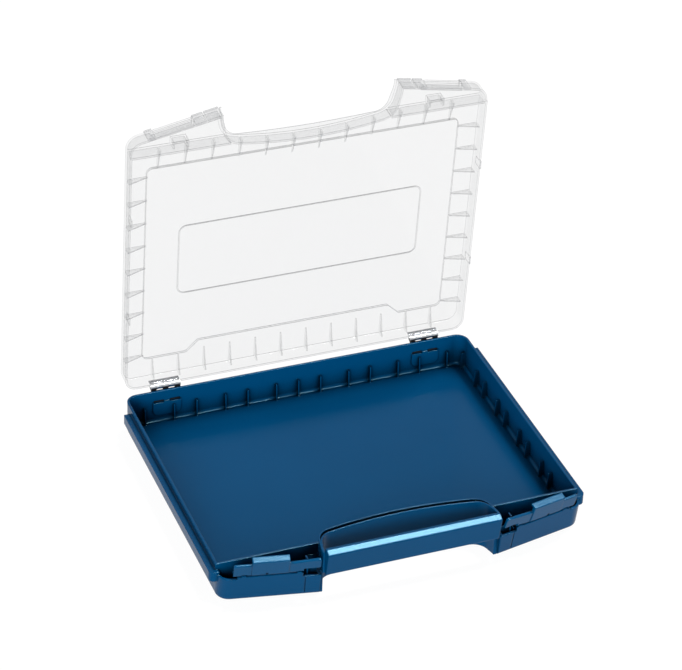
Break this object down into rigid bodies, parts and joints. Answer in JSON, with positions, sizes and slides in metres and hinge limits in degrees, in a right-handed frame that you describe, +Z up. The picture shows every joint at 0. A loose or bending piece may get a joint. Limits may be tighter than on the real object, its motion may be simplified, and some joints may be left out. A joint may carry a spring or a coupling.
{
  "type": "saw blade storage case",
  "caption": "Shallow carry case: blue tray with side runner rails and a through grip, clear hinged lid and front hook latches.",
  "frame": {"origin": "on the underside of the tray, below the middle of its straight-walled body", "axes": "+X along the hinge line, -Y towards the grip and latches, +Z up from the underside; at rest the lid stands open"},
  "size_m": [0.367, 0.3278, 0.3449],
  "materials": {
    "tray_blue": "satin moulded",
    "latch_blue": "smooth moulded",
    "lid_clear": "clear moulded plastic",
    "steel": "bright zinc",
    "steel_dark": "blackened"
  },
  "bodies": {
    "tray": {"tray_shell": "tray_blue", "grip_bar": "tray_blue", "hinge_tray_leaf_left": "steel_dark", "hinge_tray_leaf_right": "steel_dark", "hinge_pin_left": "steel_dark", "hinge_pin_right": "steel_dark", "latch_pin_left": "steel", "latch_pin_right": "steel"},
    "lid": {"lid_shell": "lid_clear", "hinge_lid_leaf_left": "steel", "hinge_lid_leaf_right": "steel"},
    "latch_left": {"latch_left": "latch_blue"},
    "latch_right": {"latch_right": "latch_blue"}
  },
  "joints": [
    {"name": "lid_hinge", "type": "hinge", "parent": "tray", "child": "lid", "pos_m": [0, 0.1463, 0.0385], "axis": [1, 0, 0], "range_deg": [-25, 85]},
    {"name": "latch_left_pivot", "type": "hinge", "parent": "tray", "child": "latch_left", "pos_m": [-0.127, -0.15146, 0.03297], "axis": [0.9806, -0.1959, 0], "range_deg": [-8, 38]},
    {"name": "latch_right_pivot", "type": "hinge", "parent": "tray", "child": "latch_right", "pos_m": [0.127, -0.15146, 0.03297], "axis": [0.9806, 0.1959, 0], "range_deg": [-8, 38]}
  ]
}
